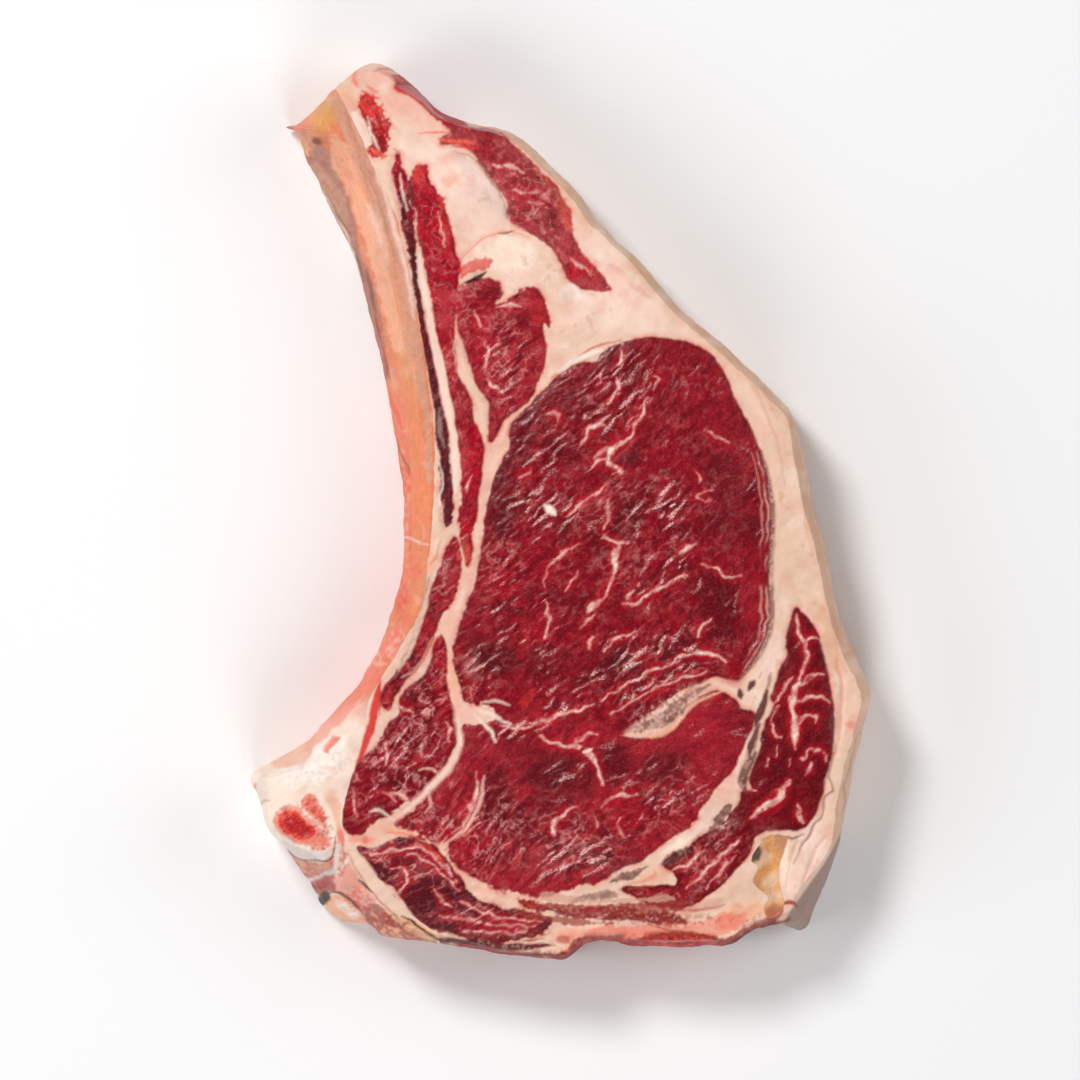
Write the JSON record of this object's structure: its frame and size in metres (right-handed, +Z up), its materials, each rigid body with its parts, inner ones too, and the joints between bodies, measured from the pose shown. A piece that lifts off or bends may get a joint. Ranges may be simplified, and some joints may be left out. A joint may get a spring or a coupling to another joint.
{
  "type": "bone-in rib steak",
  "caption": "Raw bone-in rib steak lying on its flat cut face, with a curved rib along one side, lean muscles, marbling and a web of fat.",
  "frame": {"origin": "on the surface that the steak lies on, under the middle of its bounding box", "axes": "+X towards the back fat, +Y towards the sawn tip of the rib, +Z up through the thickness"},
  "size_m": [0.1886, 0.2732, 0.0383],
  "materials": {
    "lean": "moist raw red meat with short fibres, fine pale marbling and small wet glints",
    "dark_lean": "moist dark maroon meat with pale streaks",
    "fat": "firm cream to pale pink fat with faint smears and a soft satin sheen",
    "bone": "moist peach to orange membrane over bone, with pale and blood-red streaks",
    "cartilage": "smooth milky cartilage and gristle",
    "marrow": "sawn spongy bone, red and finely speckled",
    "ligament": "golden yellow elastic ligament, slightly translucent"
  },
  "bodies": {
    "root": {"rib_bone": "bone", "chine_bone": "cartilage", "marrow": "marrow", "tendon": "cartilage", "back_strap": "ligament", "eye_muscle": "lean", "under_muscle": "lean", "cap_muscle": "lean", "corner_muscle": "lean", "bottom_muscle": "dark_lean", "upper_muscle": "lean", "rib_strip": "lean", "lower_rib_strip": "dark_lean", "dark_strip": "dark_lean", "end_muscle": "lean", "top_strip": "lean", "bottom_strip": "lean", "edge_strip": "lean", "fat": "fat"}
  },
  "joints": []
}
